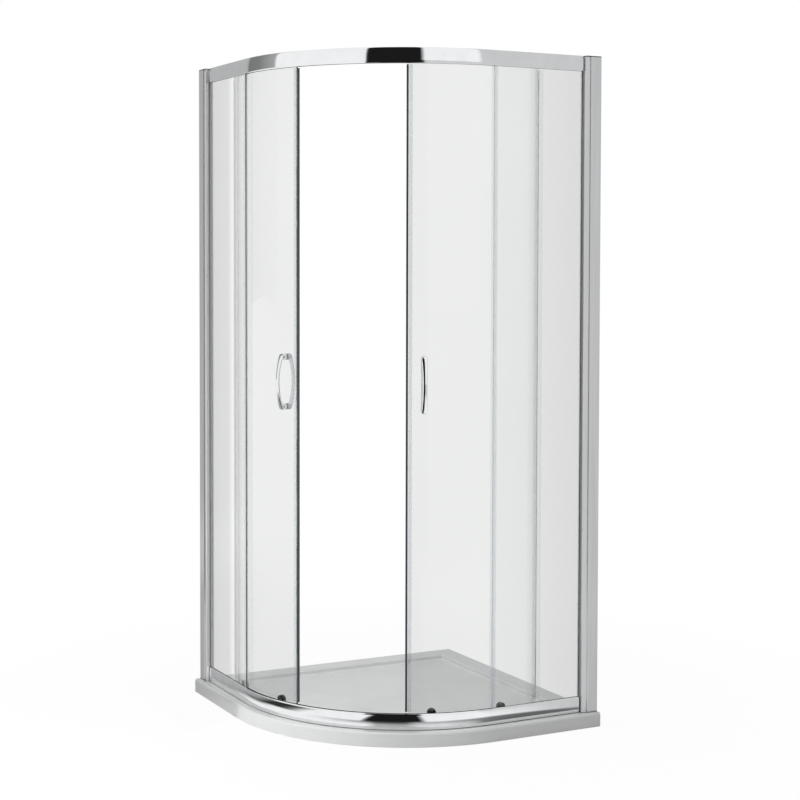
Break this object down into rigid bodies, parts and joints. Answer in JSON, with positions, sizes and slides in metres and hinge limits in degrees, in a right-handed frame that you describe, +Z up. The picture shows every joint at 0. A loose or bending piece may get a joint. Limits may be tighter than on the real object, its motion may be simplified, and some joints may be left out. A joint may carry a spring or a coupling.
{
  "type": "quadrant shower enclosure",
  "caption": "Corner shower enclosure with a quarter-round low tray, fixed glass sides and curved glass doors that slide apart on rollers between polished rails",
  "frame": {"origin": "on the floor under the tray, at the middle of the tray's square outline", "axes": "+Z up; the walls stand at +X (right side) and +Y (left side); the curved front with its doors faces -X -Y"},
  "size_m": [0.9, 0.9, 1.92],
  "materials": {
    "acrylic": "glossy white sanitary acrylic",
    "chrome": "polished chrome",
    "profile": "bright polished anodised aluminium",
    "glass": "clear 6 mm toughened glass, slightly green",
    "clear_seal": "clear flexible PVC",
    "magnet": "black magnetic rubber strip",
    "gasket": "dark glazing rubber",
    "black_plastic": "black satin acetal",
    "grey_plastic": "satin grey plastic",
    "wheel": "satin acetal tread",
    "steel": "bright zinc-plated steel"
  },
  "bodies": {
    "frame": {"shower_tray": "acrylic", "waste_flange": "black_plastic", "bottom_rail": "chrome", "top_rail": "chrome", "upright_left": "profile", "wall_profile_left": "profile", "profile_cap_left": "grey_plastic", "fixed_glass_left": "glass", "fixed_glass_seal_left": "clear_seal", "glazing_gasket_left": "gasket", "corner_blocks_left": "black_plastic", "upright_right": "profile", "wall_profile_right": "profile", "profile_cap_right": "grey_plastic", "fixed_glass_right": "glass", "fixed_glass_seal_right": "clear_seal", "glazing_gasket_right": "gasket", "corner_blocks_right": "black_plastic", "rail_screws": "steel", "profile_screws": "steel", "screw_covers": "grey_plastic", "door_stops": "gasket"},
    "waste_cover": {"waste_cover": "chrome"},
    "door_left": {"door_glass_left": "glass", "magnet_carrier_left": "clear_seal", "magnet_strip_left": "magnet", "trailing_seal_left": "clear_seal", "handle_outer_left": "chrome", "handle_inner_left": "chrome", "handle_studs_left": "steel", "handle_washers_left": "clear_seal", "top_hangers_left": "black_plastic", "runner_axles_left": "steel", "bottom_runners_left": "black_plastic", "runner_bolts_left": "steel"},
    "door_right": {"door_glass_right": "glass", "magnet_carrier_right": "clear_seal", "magnet_strip_right": "magnet", "trailing_seal_right": "clear_seal", "handle_outer_right": "chrome", "handle_inner_right": "chrome", "handle_studs_right": "steel", "handle_washers_right": "clear_seal", "top_hangers_right": "black_plastic", "runner_axles_right": "steel", "bottom_runners_right": "black_plastic", "runner_bolts_right": "steel"},
    "top_wheel_lead_left": {"top_wheel_lead_left": "wheel"},
    "top_wheel_trail_left": {"top_wheel_trail_left": "wheel"},
    "bottom_wheel_lead_left": {"bottom_wheel_lead_left": "wheel"},
    "bottom_wheel_trail_left": {"bottom_wheel_trail_left": "wheel"},
    "release_button_lead_left": {"release_button_lead_left": "grey_plastic"},
    "release_button_trail_left": {"release_button_trail_left": "grey_plastic"},
    "top_wheel_lead_right": {"top_wheel_lead_right": "wheel"},
    "top_wheel_trail_right": {"top_wheel_trail_right": "wheel"},
    "bottom_wheel_lead_right": {"bottom_wheel_lead_right": "wheel"},
    "bottom_wheel_trail_right": {"bottom_wheel_trail_right": "wheel"},
    "release_button_lead_right": {"release_button_lead_right": "grey_plastic"},
    "release_button_trail_right": {"release_button_trail_right": "grey_plastic"}
  },
  "joints": [
    {"name": "slide_door_left", "type": "hinge", "parent": "frame", "child": "door_left", "pos_m": [0.145, 0.115, 0.96], "axis": [0, 0, -1], "range_deg": [-17.4, 4.6]},
    {"name": "slide_door_right", "type": "hinge", "parent": "frame", "child": "door_right", "pos_m": [0.115, 0.145, 0.96], "axis": [0, 0, 1], "range_deg": [-16.2, 5.8]},
    {"name": "roll_top_wheel_lead_left", "type": "hinge", "parent": "door_left", "child": "top_wheel_lead_left", "pos_m": [-0.38816, -0.05397, 1.8997], "axis": [-0.945, -0.3271, 0], "continuous": true},
    {"name": "roll_top_wheel_trail_left", "type": "hinge", "parent": "door_left", "child": "top_wheel_trail_left", "pos_m": [-0.41459, 0.15759, 1.8997], "axis": [-0.9964, 0.0845, 0], "continuous": true},
    {"name": "roll_bottom_wheel_lead_left", "type": "hinge", "parent": "door_left", "child": "bottom_wheel_lead_left", "pos_m": [-0.38816, -0.05397, 0.0622], "axis": [-0.945, -0.3271, 0], "continuous": true},
    {"name": "roll_bottom_wheel_trail_left", "type": "hinge", "parent": "door_left", "child": "bottom_wheel_trail_left", "pos_m": [-0.41459, 0.15759, 0.0622], "axis": [-0.9964, 0.0845, 0], "continuous": true},
    {"name": "press_release_button_lead_left", "type": "slide", "parent": "door_left", "child": "release_button_lead_left", "axis": [-0.945, -0.3271, 0], "range_m": [0, 0.002], "stiffness_N_per_m": 800, "springref_m": -0.001},
    {"name": "press_release_button_trail_left", "type": "slide", "parent": "door_left", "child": "release_button_trail_left", "axis": [-0.9964, 0.0845, 0], "range_m": [0, 0.002], "stiffness_N_per_m": 800, "springref_m": -0.001},
    {"name": "roll_top_wheel_lead_right", "type": "hinge", "parent": "door_right", "child": "top_wheel_lead_right", "pos_m": [-0.0651, -0.3845, 1.8997], "axis": [-0.3468, -0.9379, 0], "continuous": true},
    {"name": "roll_top_wheel_trail_right", "type": "hinge", "parent": "door_right", "child": "top_wheel_trail_right", "pos_m": [0.14586, -0.41536, 1.8997], "axis": [0.0636, -0.998, 0], "continuous": true},
    {"name": "roll_bottom_wheel_lead_right", "type": "hinge", "parent": "door_right", "child": "bottom_wheel_lead_right", "pos_m": [-0.0651, -0.3845, 0.0622], "axis": [-0.3468, -0.9379, 0], "continuous": true},
    {"name": "roll_bottom_wheel_trail_right", "type": "hinge", "parent": "door_right", "child": "bottom_wheel_trail_right", "pos_m": [0.14586, -0.41536, 0.0622], "axis": [0.0636, -0.998, 0], "continuous": true},
    {"name": "press_release_button_lead_right", "type": "slide", "parent": "door_right", "child": "release_button_lead_right", "axis": [-0.3468, -0.9379, 0], "range_m": [0, 0.002], "stiffness_N_per_m": 800, "springref_m": -0.001},
    {"name": "press_release_button_trail_right", "type": "slide", "parent": "door_right", "child": "release_button_trail_right", "axis": [0.0636, -0.998, 0], "range_m": [0, 0.002], "stiffness_N_per_m": 800, "springref_m": -0.001},
    {"name": "lift_waste_cover", "type": "slide", "parent": "frame", "child": "waste_cover", "axis": [0, 0, 1], "range_m": [0, 0.04]}
  ],
  "couplings": [
    {"joint": "roll_top_wheel_lead_left", "follows": "slide_door_left", "ratio": 54.833},
    {"joint": "roll_top_wheel_trail_left", "follows": "slide_door_left", "ratio": 55.02},
    {"joint": "roll_bottom_wheel_lead_left", "follows": "slide_door_left", "ratio": 54.833},
    {"joint": "roll_bottom_wheel_trail_left", "follows": "slide_door_left", "ratio": 55.02},
    {"joint": "roll_top_wheel_lead_right", "follows": "slide_door_right", "ratio": -54.833},
    {"joint": "roll_top_wheel_trail_right", "follows": "slide_door_right", "ratio": -55.02},
    {"joint": "roll_bottom_wheel_lead_right", "follows": "slide_door_right", "ratio": -54.833},
    {"joint": "roll_bottom_wheel_trail_right", "follows": "slide_door_right", "ratio": -55.02}
  ]
}
